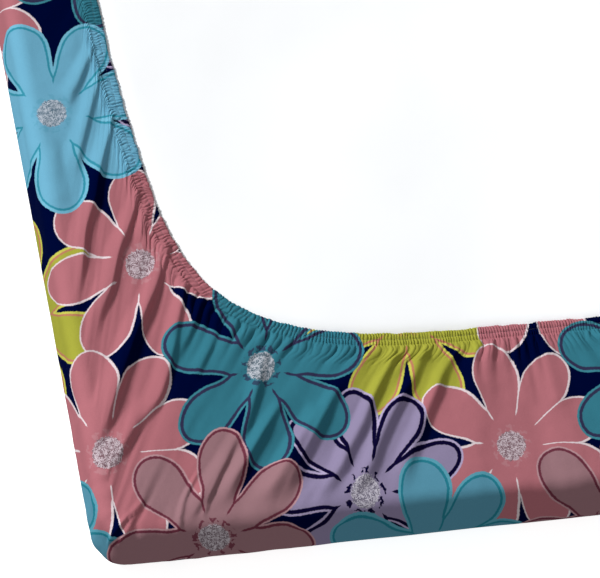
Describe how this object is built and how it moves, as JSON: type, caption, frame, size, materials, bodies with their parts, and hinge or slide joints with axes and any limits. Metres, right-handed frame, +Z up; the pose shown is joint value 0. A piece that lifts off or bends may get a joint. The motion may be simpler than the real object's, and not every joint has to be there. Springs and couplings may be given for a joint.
{
  "type": "fitted sheet on a mattress",
  "caption": "Fitted sheet with a gathered elastic hem, drawn over the sides and tucked across the upturned underside of a plain foam mattress.",
  "frame": {"origin": "on the floor under the middle of the mattress, which lies with its sleeping face down", "axes": "+Z up, away from the sleeping face; +Y along the long sides; +X along the short ends; the corner that the picture shows is at -X and -Y"},
  "size_m": [1.4, 2, 0.1482],
  "materials": {
    "printed_cloth": "soft brushed woven cloth with a large flower print, matt with a faint sheen",
    "mattress_cover": "plain white woven cover, matt"
  },
  "bodies": {
    "root": {"fitted_sheet": "printed_cloth", "mattress": "mattress_cover"}
  },
  "joints": []
}
